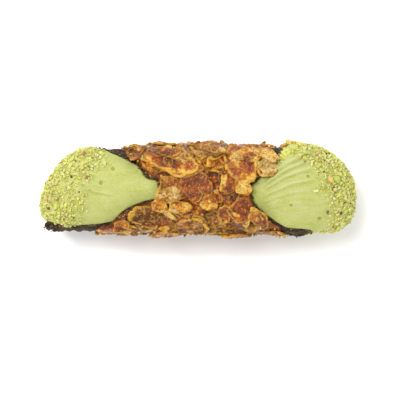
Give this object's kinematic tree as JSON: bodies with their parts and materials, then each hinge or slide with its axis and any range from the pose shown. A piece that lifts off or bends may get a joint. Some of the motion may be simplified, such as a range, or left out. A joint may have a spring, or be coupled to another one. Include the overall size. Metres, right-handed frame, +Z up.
{
  "type": "filled cannolo",
  "caption": "Cocoa dough tube filled with pistachio cream that swells out of both V-cut mouths, wrapped in caramel with toasted almond slices.",
  "frame": {"origin": "middle of the cannolo's outline, on the surface it rests on", "axes": "+X along the tube towards the mouth whose lip flares, +Z up through the cut-back upper side"},
  "size_m": [0.1312, 0.0422, 0.0407],
  "materials": {
    "cocoa_dough": "fried crisp, dark and dull, with small blisters",
    "pistachio_cream": "smooth piped cream with a soft sheen",
    "caramel": "glossy set caramel, thin and uneven",
    "almond": "toasted almond glazed with caramel",
    "pistachio_nut": "chopped nut, dry and dull"
  },
  "bodies": {
    "root": {"dough_shell": "cocoa_dough", "pistachio_cream": "pistachio_cream", "caramel_film": "caramel", "almond_slice_01": "almond", "almond_slice_02": "almond", "almond_slice_03": "almond", "almond_slice_04": "almond", "almond_slice_05": "almond", "almond_slice_06": "almond", "almond_slice_07": "almond", "almond_slice_08": "almond", "almond_slice_09": "almond", "almond_slice_10": "almond", "almond_slice_11": "almond", "almond_slice_12": "almond", "almond_slice_13": "almond", "almond_slice_14": "almond", "almond_slice_15": "almond", "almond_slice_16": "almond", "almond_slice_17": "almond", "almond_slice_18": "almond", "almond_slice_19": "almond", "almond_slice_20": "almond", "almond_slice_21": "almond", "almond_slice_22": "almond", "almond_slice_23": "almond", "almond_slice_24": "almond", "almond_slice_25": "almond", "almond_slice_26": "almond", "almond_slice_27": "almond", "almond_slice_28": "almond", "almond_slice_29": "almond", "almond_slice_30": "almond", "almond_slice_31": "almond", "almond_slice_32": "almond", "almond_slice_33": "almond", "almond_slice_34": "almond", "almond_slice_35": "almond", "almond_slice_36": "almond", "almond_slice_37": "almond", "almond_slice_38": "almond", "almond_slice_39": "almond", "almond_slice_40": "almond", "almond_slice_41": "almond", "almond_slice_42": "almond", "almond_slice_43": "almond", "almond_slice_44": "almond", "almond_slice_45": "almond", "almond_slice_46": "almond", "almond_slice_47": "almond", "almond_slice_48": "almond", "almond_slice_49": "almond", "almond_slice_50": "almond", "almond_slice_51": "almond", "almond_slice_52": "almond", "almond_slice_53": "almond"}
  },
  "joints": []
}
